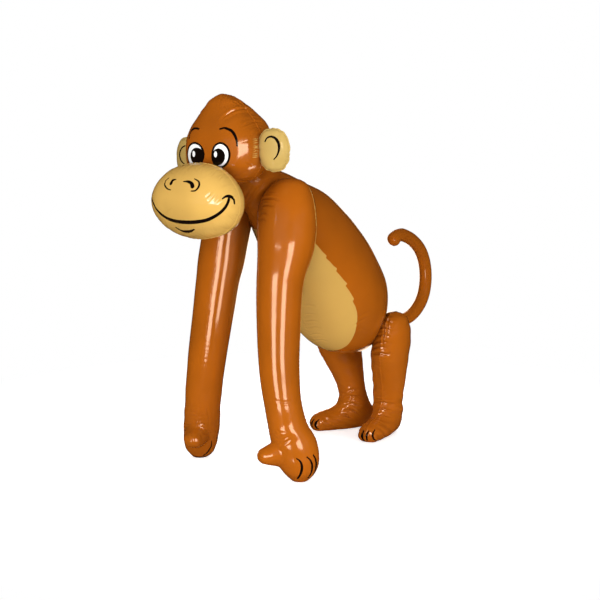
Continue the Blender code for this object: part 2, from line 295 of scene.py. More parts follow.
def rim_gathers(bag, centre, half, spacing, depth, reach, seed):
    """Puckers pointing from a round rim to the middle of a face, as on a cushion. The rim lies in the X-Z plane."""
    rel = (bag.points - np.array(centre)) / np.array(half)
    angle = np.arctan2(rel[..., 0], rel[..., 2])
    flat = np.hypot(rel[..., 0], rel[..., 2])
    mean = (half[0] + half[2]) / 2
    off = np.arctan2(rel[..., 1], flat) * (half[1] + mean) / 2
    height = np.zeros(angle.shape)
    dice = np.random.default_rng(seed)
    away = np.abs(off)
    count = int(2 * pi * mean / spacing)
    for i in range(count):
        at = radians(360 * (i + 0.5 + dice.uniform(-0.35, 0.35)) / count - 180)
        deep = depth * dice.uniform(0.3, 1.25)
        width = spacing * dice.uniform(0.15, 0.26)
        bend_front, bend_back = dice.normal(0, 0.12, 2)
        reach_front, reach_back = reach * dice.uniform(0.4, 1.5, 2)
        bend = np.where(off < 0, bend_front, bend_back)
        long = np.where(off < 0, reach_front, reach_back)
        shift = (np.angle(np.exp(1j * (angle - at))) * flat * mean - bend * away) / width
        height -= deep * np.exp(-(away / long) ** 1.6) * np.exp(-np.abs(shift) ** 1.4)
    return height + 0.3 * depth * np.exp(-(off / reach) ** 2)


def rim_weld(bag, centre, half, rise=WELD_RISE, spread=WELD_SPREAD):
    """The weld round such a rim."""
    rel = (bag.points - np.array(centre)) / np.array(half)
    off = np.arctan2(rel[..., 1], np.hypot(rel[..., 0], rel[..., 2])) * (half[1] + half[0]) / 2
    return rise * np.exp(-(off / spread) ** 2)


WAVES = 9  # how many waves make up the unevenness of a bag


def waver(points, size, amount, seed):
    """A slow unevenness of the blown-up sheet."""
    dice = np.random.default_rng(seed)
    height = np.zeros(points.shape[:-1])
    for _ in range(WAVES):
        direction = dice.normal(size=3)
        direction *= 2 * pi / (size * dice.uniform(0.7, 1.6)) / np.linalg.norm(direction)
        height += np.sin(points @ direction + dice.uniform(0, 2 * pi))
    return amount * height / 3


def line_through(points, fine=10):
    """A smooth open line through the points, as many short pieces."""
    p = np.array(points, dtype=float)
    if len(p) == 2:
        return np.linspace(p[0], p[1], fine + 1)
    q = np.concatenate([[2 * p[0] - p[1]], p, [2 * p[-1] - p[-2]]])
    out = []
    t = (np.arange(fine) / fine)[:, None]
    for a, b, c, d in zip(q, q[1:], q[2:], q[3:]):
        square, cube = 2 * a - 5 * b + 4 * c - d, 3 * b - a - 3 * c + d
        out.append(0.5 * (2 * b + (c - a) * t + square * t ** 2 + cube * t ** 3))
    out.append(p[-1:])
    return np.concatenate(out)


def off_line(points, line, margin):
    """Distance of every point from a line made of short pieces, and how far along the line it is, from 0 to 1."""
    flat = points.reshape(-1, 3)
    far = np.full(len(flat), 1e3)
    share = np.zeros(len(flat))
    near = np.all((flat > line.min(0) - margin) & (flat < line.max(0) + margin), axis=1)
    some = flat[near]
    best, best_share = np.full(len(some), 1e3), np.zeros(len(some))
    total = np.linalg.norm(np.diff(line, axis=0), axis=1).sum()
    run = 0.0
    for a, b in zip(line, line[1:]):
        ab = b - a
        length = np.linalg.norm(ab)
        t = np.clip((some - a) @ ab / max(length ** 2, 1e-9), 0, 1)
        d = np.linalg.norm(some - a - t[:, None] * ab, axis=1)
        closer = d < best
        best[closer] = d[closer]
        best_share[closer] = (run + t[closer] * length) / max(total, 1e-9)
        run += length
    far[near], share[near] = best, best_share
    return far.reshape(points.shape[:-1]), share.reshape(points.shape[:-1])


# A single fold pressed into the sheet: the points it passes, its depth and its half width
Fold = namedtuple("Fold", "points depth width")


def alike(depth, width, *lines):
    """Folds of one depth and width."""
    return [Fold(points, depth, width) for points in lines]


def shifted(points, x=0.0, y=0.0, z=0.0):
    return [(a + x, b + y, c + z) for a, b, c in points]


def nearest_on(tree, line):
    """The points of a line moved to the nearest places on a sheet."""
    return np.array([tree.find_nearest(Vector(p))[0] for p in line])


def tree_of(bag):
    return BVHTree.FromPolygons(*[list(map(tuple, part)) for part in bag.surface()])


def folds(bag, listed):
    """The sheet pressed in along each fold, and raised a little beside it. A fold of negative depth is a ridge."""
    height = np.zeros(bag.points.shape[:2])
    tree = tree_of(bag)
    for fold in listed:
        line = nearest_on(tree, line_through(fold.points))
        d, share = off_line(bag.points, line, 6 * fold.width)
        taper = np.sqrt(np.clip(np.sin(pi * np.clip(share, 0.02, 0.98)), 0, 1))
        height -= fold.depth * taper * np.exp(-(d / fold.width) ** 1.5)
        height += 0.35 * fold.depth * taper * np.exp(-((d - 2.3 * fold.width) / (1.5 * fold.width)) ** 2)
    return height


# Folds that the photo shows, in each bag's own millimetres
CREST_FOLD = [(39.6, 15.4, 58.9), (38.9, 0.6, 62.6), (36.4, -13.1, 62.9), (33.9, -21, 61.6), (30.1, -27.7, 59),
              (26.9, -31.8, 56.3), (22.6, -36.1, 52.5), (19, -39.2, 48.7)]
TEMPLE_FOLD = [(54, 17.3, 40.7), (53.7, 1.3, 42.1), (53.4, -12.5, 41.1), (52.8, -20.3, 39.2), (49.1, -30.1, 36.4)]
HEAD_FOLDS = [
    Fold(CREST_FOLD, 1.7, 1.5),
    Fold(shifted(CREST_FOLD, 1.5, -2.5, -6), 1.3, 4),
    Fold([(49.8, 13.4, 47.2), (49.9, -2.2, 47.2)], 1.2, 1.5),
    Fold(TEMPLE_FOLD, 1.5, 1.5),
    Fold(shifted(TEMPLE_FOLD, 1, 0, -5), 0.9, 3.5),
    Fold([(59.5, 8.9, 31.9), (58.2, -4.4, 34.2), (57.1, -18.4, 32)], 0.8, 1.2),
    Fold([(1.1, -16.7, 83.1), (10.1, -21.1, 77.6), (15.5, -23.8, 72.5), (19.9, -27.5, 65.4),
          (22.4, -31.4, 59.2)], 0.7, 1.1),
    Fold([(24.8, -14.2, 74.5), (30, -8.8, 70.2), (34.8, -5.6, 65.8)], 0.8, 1.1),
    Fold([(59.8, -23, 22.4), (61, -16.9, 24.2), (61.7, -8.2, 26.4)], 0.8, 1),
    Fold([(56.3, -33.8, -18), (58, -27.6, -21), (59.2, -21.8, -23.2)], 0.9, 1),
    Fold([(36.5, -35.1, -42.1), (36.8, -17.3, -46.6), (36, 2, -47.5)], 1.1, 1.4),
    Fold([(39.9, -31, -41.7), (39.6, -23.2, -43.9)], 0.8, 1),
    Fold([(-40, 12, 58), (-38, -10, 60), (-30, -28, 56)], 0.8, 1.5),
    Fold([(-52, 12, 40), (-52, -14, 37)], 0.7, 1.4),
]
# Short ticks where the head's two sheets are gathered in front of its left ear, from the top one to the bottom one
TICKS = 10
TICKS_TOP = ((62.2, -20, 18.2), (63.9, -8, 17.6))
TICKS_BOTTOM = ((62.7, -23.3, -8.8), (64.3, -11.3, -9.4))
TICK_LINES = [
    [tuple(a + (b - a) * i / (TICKS - 1) for a, b in zip(*side)) for side in zip(TICKS_TOP, TICKS_BOTTOM)]
    for i in range(TICKS)]
HEAD_FOLDS += alike(0.9, 0.8, *TICK_LINES)
MUZZLE_FOLDS = [
    *alike(1.2, 1.1,
        [(48.4, -125.9, -62.8), (52.1, -123.1, -59.4), (54.7, -120.1, -55.2)],
        [(53, -123.8, -66.7), (57.2, -120.4, -61.9), (59.5, -116.8, -56.3)],
        [(58.6, -120.4, -68.5), (62.5, -116.6, -63.7), (64.6, -112.7, -57.4)],
        [(63.7, -116.4, -70.4), (67.4, -112.3, -65.6), (69.5, -108.4, -60.8)]),
    *alike(0.9, 1,
        [(66.1, -89.9, -40.9), (65, -106.2, -48.4)],
        [(73.7, -91.3, -52.8), (70.9, -105.3, -58.9)],
        [(78.2, -88.6, -64.1), (74.3, -103.4, -67.9)],
        [(57, -90.6, -31.9), (58.1, -104.8, -38.9)],
        [(46.4, -95.6, -25.4), (47.2, -106.9, -31.9)],
        [(79, -86, -76.2), (75.9, -99.2, -77.9)]),
    *alike(0.6, 0.9,
        [(69.4, -83.4, -102.6), (70.9, -96.7, -93.8), (70, -104.7, -87)],
        [(70.8, -74.9, -97.5), (75.8, -90.4, -89.2)],
        [(57.9, -88.9, -111), (61.6, -102.3, -100.6), (62.1, -109.5, -92.5)],
        [(39.8, -95.6, -117.9), (44.6, -107.9, -107.6), (46.8, -114.6, -99.4)],
        [(17.5, -96.7, -122.5), (26.6, -110.8, -111.8), (30.1, -116.9, -105.2)],
        [(0.1, -108.1, -116.8), (9.7, -117.9, -108.2), (17.2, -122.9, -101.6)],
        [(-20, -115.8, -108.5), (-4.7, -126.3, -98.3), (5.8, -131.2, -90.3)],
        [(-38.1, -124.9, -89.5), (-20.9, -133, -81.2), (-8.1, -136.2, -75.7)],
        [(-47.8, -112.4, -36.2), (-24.7, -126.4, -39.9), (-11.2, -131.6, -45.5)],
        [(-40, -96.7, -22.5), (-11, -120.8, -30), (1.3, -127.1, -37.1)],
        [(4.8, -111, -22.1), (15.3, -120.1, -30.4)],
        [(24.4, -99.4, -18.8), (31.2, -111.1, -26.9)],
        [(15.1, -102.1, -18.4), (25.2, -113.1, -26.7)]),
]
LEFT_LEG_FOLDS = [
    Fold([(1.5, -55.6, 152.5), (18, -62.1, 154.8), (28.5, -56.5, 153.1), (35.1, -54.4, 156)], 3, 1.7),
    *alike(2, 1.5,
        [(5.7, -45.7, 204.6), (14.2, -47.7, 209.2), (24.4, -49.3, 210.4), (31.8, -48.9, 208.4)],
        [(4.8, -51.3, 192.4), (14.3, -55.4, 198.3), (25.8, -55.7, 199.5), (34.2, -53.6, 197.3)],
        [(5.1, -55.6, 181.9), (16.9, -60.4, 186.5), (27.9, -59.8, 187.4), (34.2, -57.1, 185)],
        [(3.4, -55.8, 170.4), (15.8, -61.7, 175.3), (26.8, -61.2, 175.5), (34.1, -56.7, 172.8)],
        [(0.8, -54.2, 161.2), (14.1, -61.9, 165.7), (25.3, -61.7, 165.9), (31.4, -58.7, 164.2)],
        [(10.9, -33.3, 216.4), (21, -38.4, 216.9)]),
    *alike(1.2, 1.3,
        [(21.3, -50.6, 207.7), (23.1, -57.7, 193.5), (23.4, -61.8, 177), (23.1, -61, 161.2)],
        [(25.6, -47.7, 211.1), (28.9, -56.2, 197.3), (29.9, -59.8, 180.7)]),
    *alike(1.8, 1.4,
        [(-11.3, -20.3, 53.4), (2.4, -24.7, 59.5), (14.3, -21.3, 58.4), (23.6, -12.6, 56.8)],
        [(-6.9, -25, 46.9), (5, -25.8, 49.4), (15, -22.4, 47.2), (21.1, -15.2, 44.5)],
        [(0.1, -35.2, 40.1), (9.5, -30.7, 39.4), (17.5, -23.4, 36.1)]),
    Fold([(-3.9, -50.2, 33.2), (7.2, -49.4, 32.6), (16.4, -44.7, 27.4)], 0.6, 1.2),
]
RIGHT_LEG_FOLDS = [
    *alike(2, 1.5,
        [(14.9, -16.8, 67), (21.1, -9.8, 72.4), (22.5, 0.9, 70.9)],
        [(12, -18.5, 55.7), (18.4, -12.5, 60.2), (22.3, -0.8, 59.3), (22.2, 8.8, 55.7)],
        [(14.5, -20.4, 45.5), (20.1, -13.1, 48.9), (23.6, -3.1, 46.2), (25.1, 5.8, 43.1)],
        [(17.8, -23.5, 35.7), (20.5, -15.1, 37.4), (22.6, -6.4, 33.5), (24.4, 2.4, 27.8)],
        [(20, -30, 27.7), (21.9, -21.3, 27.4), (24.1, -12.6, 21.7)]),
    Fold([(21.4, -8.1, 75), (20.4, -8.5, 56.7), (20.5, -13.2, 39.1), (22.5, -21.5, 25.7)], 1.2, 1.3),
]
LEFT_ARM_FOLDS = [
    Fold([(8.7, -39.1, 21.3), (21.2, -30.6, 22.5), (27.8, -21.8, 21.5), (31.2, -15.9, 18.3)], 2.2, 1.4),
    *alike(2, 1.3,
        [(15.2, -39.6, 11.1), (25.1, -31, 11.6), (30.4, -23.6, 9.1)],
        [(13.8, -42.8, -0.5), (21.8, -37.1, -0.6), (27.7, -31.3, -3.1)]),
    Fold([(15.8, -28.5, 32.6), (23.7, -19.8, 31.6)], 1, 1.1),
    Fold([(11.6, -44.3, -9.8), (21.4, -38.8, -11.4), (26, -34.5, -14.6)], 1.3, 1.3),
    Fold([(24.3, -28.4, -289.2), (29.2, -17.9, -292.8), (29.8, -5.5, -293.8), (26, 4.1, -291.3)], 0.5, 1.3),
    Fold([(16.6, -28.4, -345.8), (21.6, -22.6, -351.6), (26.8, -13.7, -352.7), (29, -4.4, -348)], 0.8, 1.1),
    Fold([(22.2, -25.6, -335.3), (26, -18.1, -341.2), (28.7, -9, -341.9)], 0.6, 1.1),
    Fold([(23.3, -16.6, -362.5), (27.9, -7.6, -357.4), (29.3, 0.2, -351.2)], 0.8, 1.1),
    Fold([(15.4, -25.4, -363.3), (21.5, -19.6, -360.3)], 0.6, 1.1),
]
RIGHT_ARM_FOLDS = [
    Fold([(-24.8, -11, -367), (-17.3, -20.1, -363.9), (-10.8, -25.7, -361.1), (-4.6, -27.7, -358.7),
          (0.7, -29.4, -356.4)], 1, 1.2),
    Fold([(1.5, -30.5, -349.3), (1.5, -28.8, -359.8)], -0.8, 1.4),
    *alike(1.1, 1.1,
        [(3.4, -28.3, -359.5), (7.2, -28.4, -355.9), (11, -27.3, -354.9), (15.4, -22.2, -360.2)],
        [(3.5, -30.1, -362.5), (11, -28, -365.7), (16.4, -22, -368.5)],
        [(9, -32.2, -367.7), (15.5, -26.7, -370.7), (20.5, -15.1, -375.2)],
        [(13.2, -24.5, -364.4), (20, -16.7, -368.2), (24.9, -8.4, -371.6)]),
    *alike(0.8, 1.2,
        [(5.9, -37.7, -370.5), (10.9, -36.1, -373.3), (14.5, -34.6, -378)],
        [(-13.9, -32.5, -373.8), (-7.5, -41.8, -375.6), (-2.4, -46.1, -378.7)],
        [(-6.5, -36.5, -369.8), (-0.5, -43.3, -373.8), (3.4, -47.5, -380.6)]),
    Fold([(15, -31, -326.4), (19.1, -23.2, -347.5), (18.3, -19.7, -361.9)], 0.5, 1.5),
]
TORSO_FOLDS = [
    *alike(1.4, 1.5,
        [(1.5, 151.2, 219.3), (16.7, 151, 222.9), (26.6, 154.6, 222.7)],
        [(-2.5, 161.2, 205.5), (14.1, 159.4, 210.3), (24.2, 162.8, 210.3)],
        [(-3, 169.6, 193.9), (13.5, 168, 198), (23, 172.2, 196.9)],
        [(7.2, 141.7, 233.2), (19.7, 142.2, 236.3), (29.3, 146.1, 236)],
        [(-4.3, 181.8, 181.6), (13.5, 178.6, 186.1), (21.6, 184.5, 183.7)],
        [(14.2, 130.8, 250.6), (25.2, 133, 252.4), (32.6, 136.9, 251.9)]),
    Fold([(-15.5, 22.7, 416.9), (9.8, 6.4, 436.1), (24.6, 6.3, 452.9), (33.1, 18, 465), (35.4, 34.4, 470.2)], 2, 2.6),
    Fold([(-4.3, 5.6, 435.2), (9.6, -0.3, 447.7), (19, 0.9, 457.6)], 1.3, 2),
    *alike(1, 1.6,
        [(72.2, 203.5, 227.1), (77, 213.5, 233), (79.7, 226.2, 234.9)],
        [(63.3, 198.9, 211.5), (70.9, 208, 219.5), (75.3, 218.5, 223.6)],
        [(67.9, 233.9, 198.3), (68.4, 219.5, 205.6), (64.8, 210.5, 204.9)]),
]


def placed(location, lean=0.0, turn=0.0, swing=0.0):
    """A bag's place in the shared frame. It swings about X, then leans about Y, then turns about Z, in degrees."""
    x, y, z = location
    moved = Matrix.Translation(((x + SIDEWAYS) * MM, (y + FORWARD) * MM, z * MM))
    turned = moved @ Matrix.Rotation(radians(turn), 4, "Z") @ Matrix.Rotation(radians(lean), 4, "Y")
    return turned @ Matrix.Rotation(radians(swing), 4, "X")


def rest_on_floor(bag, place):
    """Flatten what would be below the floor."""
    m = np.array(place)
    p = bag.points * MM
    world = p @ m[:3, :3].T + m[:3, 3]
    world[..., 2] = np.maximum(world[..., 2], 0.0)
    bag.points = (world - m[:3, 3]) @ m[:3, :3] / MM


HAND_ROWS = (-420, -335)  # heights in the arm between which the thumb leaves the hand, millimetres
HAND_TOP = -330  # below this height the sheet is smoothed after that
THUMB_BLEND = 7.0  # how softly thumb and hand run into one another, millimetres
THUMB_SIDE = 0.2  # cosine of the widest turn from the front at which the thumb is looked for
SMOOTHINGS = 6  # how often the hand is smoothed


def thumb_on(bag):
    """Swell the thumb out of the front of the hand."""
    tree = tree_of(Bag("thumb", THUMB, step=1.5, around=48, seam=FRONT_SEAM))
    p = bag.points
    axis = bag.middle
    low, high = HAND_ROWS
    for row in np.nonzero((axis[:, 2] < high) & (axis[:, 2] > low))[0]:
        for column in np.nonzero(np.cos(bag.turn) > THUMB_SIDE)[0]:
            out = p[row, column] - axis[row]
            reach = np.linalg.norm(out)
            out /= reach
            hit = tree.ray_cast(Vector(axis[row] + out * 120), Vector(-out))[0]
            if hit is None:
                continue
            far = (np.array(hit) - axis[row]) @ out
            both = (reach + far + np.sqrt((reach - far) ** 2 + THUMB_BLEND ** 2)) / 2
            both -= THUMB_BLEND / 2 * np.exp(-abs(far - reach) / THUMB_BLEND)
            p[row, column] = axis[row] + out * max(reach, both)
    for _ in range(SMOOTHINGS):
        zone = (p[1:-1, :, 2] < HAND_TOP)[..., None]
        calm = (np.roll(p, 1, axis=1) + np.roll(p, -1, axis=1))[1:-1] / 4 + (p[:-2] + p[2:]) / 4
        p[1:-1] = np.where(zone, 0.5 * p[1:-1] + 0.5 * calm, p[1:-1])


# Print on the vinyl, and painted highlights: lines with their half widths at start, middle and end
Stroke = namedtuple("Stroke", "points start middle end")
NO_PRINT = -50.0  # stands for far outside the print, in millimetres
# The painted highlights are widened by INK_SPREAD as well
INK_SPREAD = 2.0  # how much wider the ink ran than the line that was drawn


def inside_strokes(points, tree, strokes):
    """How far inside the nearest drawn line, ink or painted highlight, each point is, in millimetres."""
    ink = np.full(points.shape[:-1], NO_PRINT)
    for stroke in strokes:
        line = nearest_on(tree, line_through(stroke.points))
        d, share = off_line(points, line, margin=8.0)
        half = stroke.start + (stroke.middle - stroke.start) * smoothstep(share, 0, 0.5)
        half = half + (stroke.end - stroke.middle) * smoothstep(share, 0.5, 1)
        ink = np.maximum(ink, half * INK_SPREAD - d)
    return ink


def oval(points, x, z, half_x, half_z):
    """How far inside an upright oval each point is, seen from the front."""
    u, w = (points[..., 0] - x) / half_x, (points[..., 2] - z) / half_z
    r = np.maximum(np.hypot(u, w), 1e-6)
    slope = np.hypot(u / half_x, w / half_z) / r
    inside = (1 - r) / np.maximum(slope, 1e-6)
    return np.where(points[..., 1] < 0, inside, NO_PRINT)


def inside_outline(y, z, outline):
    """How far inside a closed outline in the side view each point is."""
    a = np.array(outline, dtype=float)
    b = np.roll(a, -1, axis=0)
    far = np.full(y.shape, 1e3)
    crossings = np.zeros(y.shape, dtype=int)
    for (ay, az), (by, bz) in zip(a, b):
        t = np.clip(((y - ay) * (by - ay) + (z - az) * (bz - az)) / ((by - ay) ** 2 + (bz - az) ** 2), 0, 1)
        far = np.minimum(far, np.hypot(y - ay - t * (by - ay), z - az - t * (bz - az)))
        spans = (az > z) != (bz > z)
        if bz != az:
            crossings += spans & (y < ay + (z - az) * (by - ay) / (bz - az))
    return np.where(crossings % 2 == 1, far, -far)


# An eye: its middle and half sizes seen from the front, then those of its pupil and of the glint in it
Eye = namedtuple("Eye", "middle size pupil pupil_size glint glint_size")
LEFT_EYE = Eye((24.1, -4.4), (16.1, 19.8), (20.6, -6.8), (11.4, 12.6), (15.8, -3), (2.7, 4.7))
RIGHT_EYE = Eye((-25.6, -3), (20.8, 19.8), (-20.8, -4.6), (15, 12.6), (-27.5, -1.6), (3.2, 4.7))
EYE_LINE = 3.3  # width of the black line round an eye, millimetres
BROWS = [
    Stroke([(21.6, -46.5, 34.7), (27.8, -44.5, 35.9), (33.8, -43.1, 34.2), (38.8, -41.9, 31.6),
        (42.8, -41.4, 27.4), (46.5, -41.4, 20.9), (48.5, -41.6, 14.1), (49, -42, 8.5)], 0.75, 1.15, 0.8),
    Stroke([(-18.9, -46.8, 35.9), (-27.4, -44.4, 37.2), (-34.2, -42.6, 35.8), (-38.6, -42.2, 32.4),
        (-40.2, -43.4, 27.9), (-40.7, -45.4, 21.9)], 0.75, 1.15, 0.8),
]
MOUTH = [
    Stroke([(-66, -110, -58), (-61, -117, -64), (-54.8, -123, -70.8), (-49, -124.8, -78.2), (-38.7, -126.2, -86.4),
        (-26.3, -126.6, -93.1), (-10.1, -126.7, -97.3), (8.4, -126, -98.8), (25.5, -123.5, -98.5),
        (41.5, -119.5, -96.4), (55.1, -115.9, -91.1), (65.3, -111.5, -84.1), (71.8, -106.9, -75.7),
        (74.3, -103.2, -66.5)], 1.1, 1.9, 1.1),
    Stroke([(68.4, -111.1, -65), (71.4, -106.3, -62.5), (74.5, -100.6, -62.7), (77.4, -96.4, -67.1),
        (77.9, -95.3, -73.9)], 0.7, 1.2, 0.7),
    Stroke([(-60, -117, -56), (-65, -110, -54), (-69, -104, -55), (-72, -99, -60)], 0.7, 1.2, 0.7),
    Stroke([(-19.1, -116.9, -107.7), (-14.7, -113.2, -111.8), (-7.1, -110.9, -114.4), (3.5, -112, -113.8),
        (13.8, -114.9, -110.7)], 0.9, 1.9, 0.8),
    Stroke([(-22.2, -121.6, -32.8), (-27.7, -123.6, -37.1), (-26.2, -127.7, -42.7), (-19.2, -131.5, -47.7),
        (-11, -133.4, -49.8)], 0.45, 0.7, 0.45),
    Stroke([(-5.7, -125.5, -34.9), (-12, -126.2, -36.3), (-13, -128.8, -40.5)], 0.5, 1.2, 1.5),
    Stroke([(26.4, -121.4, -34.6), (34.2, -121.9, -38.6), (36.9, -125, -45.1), (33.1, -129.2, -51.3),
        (26.3, -131.3, -51.8)], 0.45, 0.8, 0.5),
    Stroke([(9.8, -127.1, -37.9), (17.6, -126.2, -38.1), (24.4, -126.7, -41.1), (27.3, -128.4, -45.4)], 0.5, 1.2, 1.6),
]
LEFT_EAR_LINE = [
    Stroke([(-10.2, -8.2, 13.8), (-6.7, -7.9, 18.9), (-0.1, -7.9, 20.7), (7.1, -8, 17.6),
        (11.6, -8.3, 9.9), (11.7, -8.6, 0.8), (8.1, -8.9, -8.1), (2.4, -8.9, -13.9)], 0.6, 1.1, 0.45),
]
RIGHT_EAR_LINE = [
    Stroke([(5.5, -7.7, 20.1), (-1.5, -8.5, 17.1), (-6.8, -9, 10.1), (-7.3, -9.1, 2.2),
        (-2.3, -9.4, -4.8), (3.7, -9.3, -8)], 0.6, 1, 0.5),
]
FINGERS = [
    Stroke([(28.1, 8.7, -382.6), (28.3, 14.2, -387.2), (27.6, 16.7, -395.1), (25.4, 15.7, -404.1),
        (17.8, 10.4, -415.5)], 0.6, 1.05, 0.8),
    Stroke([(26.6, 24.9, -380.7), (24.2, 30.5, -386.6), (21.8, 33.3, -395.7), (19.1, 32.4, -405.5),
        (16, 27.1, -414.6)], 0.6, 1.05, 0.8),
    Stroke([(20.5, 35, -378.7), (18, 38, -384.5), (15.5, 39.5, -392), (12.5, 38.5, -401.5),
        (10, 34.5, -410)], 0.7, 1.3, 0.9),
]
PALM_LINES = [
    Stroke([(23.4, -6.4, -386), (23.5, -2.7, -395.4), (19.8, -1.7, -404.9), (11.7, 1.1, -414.8)], 0.5, 0.9, 0.7),
    Stroke([(-17.8, 0.9, -410.3), (-12, 3, -416.5), (-5, 4, -419.5), (4.2, 3, -419.5), (13.7, 7.6, -417.7),
        (20, 11, -412), (25, 13.5, -404.8)], 0.7, 1.1, 0.8),
]
# The left foot's toe lines. The right foot's lie a little further to the figure's left, and are thicker.
TOES = [
    Stroke([(13.9, -70.7, 22.9), (12.8, -76.5, 16.2), (14.1, -76.8, 8.5), (17.8, -72.7, 3.6)], 0.5, 0.9, 0.6),
    Stroke([(5, -77.1, 21.4), (2.4, -79.5, 13.5), (3.3, -79.1, 4.6)], 0.5, 1, 0.7),
    Stroke([(-4.6, -77.1, 19.4), (-6.3, -78.3, 10.6), (-4, -77, 2.6)], 0.9, 1.4, 1),
]
RIGHT_TOES = [toe._replace(points=shifted(toe.points, x=2), middle=1.4) for toe in TOES]
# The tan patch in the side view: down its back edge, with the notches of the fur, then round in front of the belly
BELLY = [
    (40, 384), (62, 383), (76, 379.5), (89, 373.5), (100.7, 366), (110, 356), (119, 346), (126.4, 339.5),
    (124.5, 336.5), (132.4, 329.5), (140, 321.5), (147, 316.5), (144.5, 313.5), (153.7, 304.5), (161.7, 296),
    (169, 289.5), (166, 286.5), (175.7, 275.5), (181.3, 268.4), (187, 261.5), (184, 259), (192, 249), (198.2, 238.2),
    (202.2, 227.2), (205.4, 214.4), (208.7, 201.4), (211.4, 188), (213.5, 175.9), (213.5, 168.3), (212.5, 150),
    (20, 150),
]


def face_print_and_tick_highlights(verts, tree):
    eyes, white, pupil, glint = (np.full(len(verts), NO_PRINT) for _ in range(4))
    for eye in (LEFT_EYE, RIGHT_EYE):
        eyes = np.maximum(eyes, oval(verts, *eye.middle, *eye.size))
        inner = [s - EYE_LINE for s in eye.size]
        white = np.maximum(white, oval(verts, *eye.middle, *inner))
        pupil = np.maximum(pupil, oval(verts, *eye.pupil, *eye.pupil_size))
        glint = np.maximum(glint, oval(verts, *eye.glint, *eye.glint_size))
    ring_of_ink = np.minimum(eyes, -white)
    ink = np.maximum(np.maximum(ring_of_ink, np.minimum(pupil, -glint)), inside_strokes(verts, tree, BROWS))
    # Painted highlights: pale lines just under the ticks, along the rims of the puckers that catch the light
    tick_highlights = [Stroke(shifted(tick, z=-1.5), 0.2, 0.35, 0.2) for tick in TICK_LINES]
    return {"ink": ink, "white": white + EYE_LINE / 2, "tan_print_and_highlights": inside_strokes(verts, tree, tick_highlights)}


def print_and_highlight_lines(strokes, highlight_strokes=()):
    """Lines in ink, and painted highlights in tan."""
    return lambda verts, tree: {"ink": inside_strokes(verts, tree, strokes), "tan_print_and_highlights": inside_strokes(verts, tree, highlight_strokes)}


def belly_print(verts, tree):
    return {"tan_print_and_highlights": inside_outline(verts[:, 1], verts[:, 2], BELLY)}


def turned_over(strokes):
    """The same strokes on the other side of the bag."""
    return [stroke._replace(points=[(-x, y, z) for x, y, z in stroke.points]) for stroke in strokes]


def show(thing):
    bpy.context.scene.collection.objects.link(thing)


def make_piece(bag, place, material, prints=None):
    """The bag as a smooth mesh riding on the part, with its print and painted highlights as attributes."""
    verts, faces = bag.surface()
    mesh = bpy.data.meshes.new(bag.name)
    mesh.from_pydata((verts * MM).tolist(), [], faces)
    mesh.polygons.foreach_set("use_smooth", [True] * len(mesh.polygons))
    mesh.materials.append(material)
    tree = BVHTree.FromPolygons(verts.tolist(), faces)
    layers = {name: np.full(len(verts), NO_PRINT) for name in ("ink", "white", "tan_print_and_highlights")}
    if prints:
        layers.update(prints(verts, tree))
    for name, values in layers.items():
        layer = mesh.attributes.new(name, "FLOAT", "POINT")
        layer.data.foreach_set("value", values.astype(np.float32))
    mesh.transform(place)
    piece = bpy.data.objects.new(bag.name + "_vinyl", mesh)
    show(piece)
    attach(piece, "root")
    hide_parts(bag.name)


# Colours of the vinyl and its inks, linear RGB
FUR = (0.395, 0.098, 0.0045, 1.0)
TAN = (0.66, 0.39, 0.092, 1.0)
# Painted shade: a darker copy of the tan for the ears, which face the fill lamp and would come out lighter than the
# muzzle
SHADED_EAR_TAN = (0.50, 0.335, 0.096, 1.0)
BLACK = (0.002, 0.0015, 0.0015, 1.0)
WHITE = (0.98, 0.98, 0.97, 1.0)
# Painted shade: the vinyl's colour is darkened by ambient occlusion where bags press on one another
PAINTED_SHADE_TINT = (0.36, 0.30, 0.40, 1.0)  # what the colour is multiplied by in the deepest shade
SHADE_REACH = 0.07  # how far off a bag still shades another, metres
PRINT_EDGE = 0.22  # half width of the soft edge of the print, millimetres


class Nodes:
    """The node tree of a material or a world. Nodes are added to it with their inputs set or linked."""

    def __init__(self, owner):
        owner.use_nodes = True
        self.tree = owner.node_tree

    def put(self, socket, value):
        if isinstance(value, bpy.types.NodeSocket):
            self.tree.links.new(value, socket)
        else:
            socket.default_value = value

    def add(self, kind, **inputs):
        made = self.tree.nodes.new("ShaderNode" + kind)
        for name, value in inputs.items():
            self.put(made.inputs[name.replace("_", " ")], value)
        return made

    def spread(self, value, low, high, to_low, to_high, steps="LINEAR"):
        made = self.add("MapRange", Value=value, From_Min=low, From_Max=high, To_Min=to_low, To_Max=to_high)
        made.interpolation_type = steps
        return made.outputs["Result"]

    def mix(self, share, first, second, blend="MIX"):
        made = self.add("Mix")
        made.data_type = "RGBA"
        made.blend_type = blend
        for i, value in ((0, share), (6, first), (7, second)):
            self.put(made.inputs[i], value)
        return made.outputs[2]


def tinted(colour, factor):
    return tuple(min(1.0, c * factor) for c in colour[:3]) + (1.0,)


